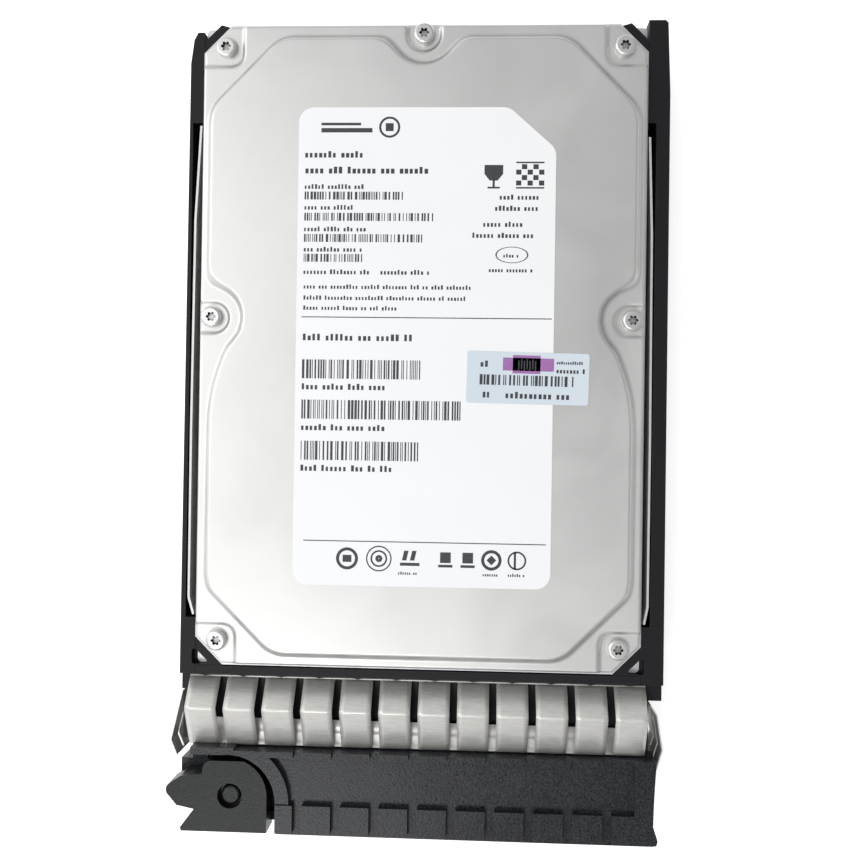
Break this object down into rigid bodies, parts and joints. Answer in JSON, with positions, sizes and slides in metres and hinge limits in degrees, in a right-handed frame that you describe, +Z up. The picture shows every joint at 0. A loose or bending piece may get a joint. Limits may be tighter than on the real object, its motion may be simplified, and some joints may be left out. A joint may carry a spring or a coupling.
{
  "type": "hard disk drive",
  "caption": "Rectangular hard disk drive, label up, in a black hot-swap carrier with spring shielding fingers, grained bezel and ejector lever.",
  "frame": {"origin": "middle of the footprint on the resting plane", "axes": "+X across the drive to the right, +Y along it towards the connector end, +Z up out of the cover"},
  "size_m": [0.1136, 0.1862, 0.0283],
  "materials": {
    "casting": "die-cast, matt",
    "cover_metal": "satin pressed sheet",
    "gasket_rubber": "matt",
    "screw_steel": "bright zinc",
    "label_print": "satin coated paper",
    "sticker_print": "satin coated paper",
    "disc_surface": "mirror polished",
    "turned_steel": "turned",
    "bearing_brass": "turned",
    "magnet_nickel": "nickel plated",
    "coil_copper": "enamelled copper wire",
    "arm_aluminium": "machined",
    "flex_film": "polyimide film",
    "filter_fibre": "felt",
    "board_green": "solder-masked board",
    "chip_black": "moulded",
    "pad_foam": "closed-cell foam",
    "plug_plastic": "moulded",
    "contact_gold": "gold plated",
    "carrier_plastic": "moulded, low gloss",
    "shield_steel": "satin stainless sheet",
    "bezel_plastic": "coarse spark-eroded grain",
    "lever_plastic": "smooth, low gloss",
    "button_plastic": "smooth, low gloss",
    "clear_acrylic": "clear"
  },
  "bodies": {
    "carrier_with_drive": {"base_casting": "casting", "top_cover": "cover_metal", "cover_gasket": "gasket_rubber", "cover_screws": "screw_steel", "main_label": "label_print", "serial_sticker": "sticker_print", "spindle_sleeve": "bearing_brass", "motor_stator": "coil_copper", "pivot_stud": "turned_steel", "lower_yoke": "magnet_nickel", "upper_yoke": "magnet_nickel", "lower_magnet": "magnet_nickel", "upper_magnet": "magnet_nickel", "crash_stops": "gasket_rubber", "flex_cable": "flex_film", "flex_bracket": "plug_plastic", "recirculation_filter": "filter_fibre", "breather_filter": "plug_plastic", "controller_board": "board_green", "board_chips": "chip_black", "board_pad": "pad_foam", "board_screws": "screw_steel", "sata_connector": "plug_plastic", "connector_contacts": "contact_gold", "left_rail": "carrier_plastic", "right_rail": "carrier_plastic", "left_rail_strip": "shield_steel", "right_rail_strip": "shield_steel", "rail_screws": "screw_steel", "cross_member": "carrier_plastic", "emi_top_fingers": "shield_steel", "emi_bottom_fingers": "shield_steel", "emi_left_spring": "shield_steel", "emi_right_spring": "shield_steel", "front_bezel": "bezel_plastic", "light_pipes": "clear_acrylic", "lever_pin": "lever_plastic", "button_spring": "screw_steel"},
    "spindle_pack": {"spindle_hub": "turned_steel", "disc_clamp": "turned_steel", "clamp_screws": "screw_steel", "motor_magnet": "magnet_nickel", "platter_1": "disc_surface", "platter_2": "disc_surface", "platter_3": "disc_surface", "platter_4": "disc_surface", "disc_spacer_1": "turned_steel", "disc_spacer_2": "turned_steel", "disc_spacer_3": "turned_steel"},
    "head_stack": {"actuator_arm": "arm_aluminium", "pivot_bearing": "turned_steel", "voice_coil": "coil_copper", "head_suspensions": "shield_steel", "head_sliders": "chip_black"},
    "ejector": {"ejector_lever": "lever_plastic"},
    "button": {"release_button": "button_plastic"}
  },
  "joints": [
    {"name": "spindle_spin", "type": "hinge", "parent": "carrier_with_drive", "child": "spindle_pack", "pos_m": [0, -0.0018, 0.015], "axis": [0, 0, 1], "continuous": true},
    {"name": "actuator_swing", "type": "hinge", "parent": "carrier_with_drive", "child": "head_stack", "pos_m": [0.02, 0.0517, 0.015], "axis": [0, 0, 1], "range_deg": [0, 29]},
    {"name": "lever_swing", "type": "hinge", "parent": "carrier_with_drive", "child": "ejector", "pos_m": [-0.04185, -0.0843, 0.015], "axis": [0, 0, -1], "range_deg": [0, 30]},
    {"name": "button_press", "type": "slide", "parent": "carrier_with_drive", "child": "button", "axis": [0, 1, 0], "range_m": [0, 0.002], "stiffness_N_per_m": 300, "springref_m": -0.001}
  ]
}
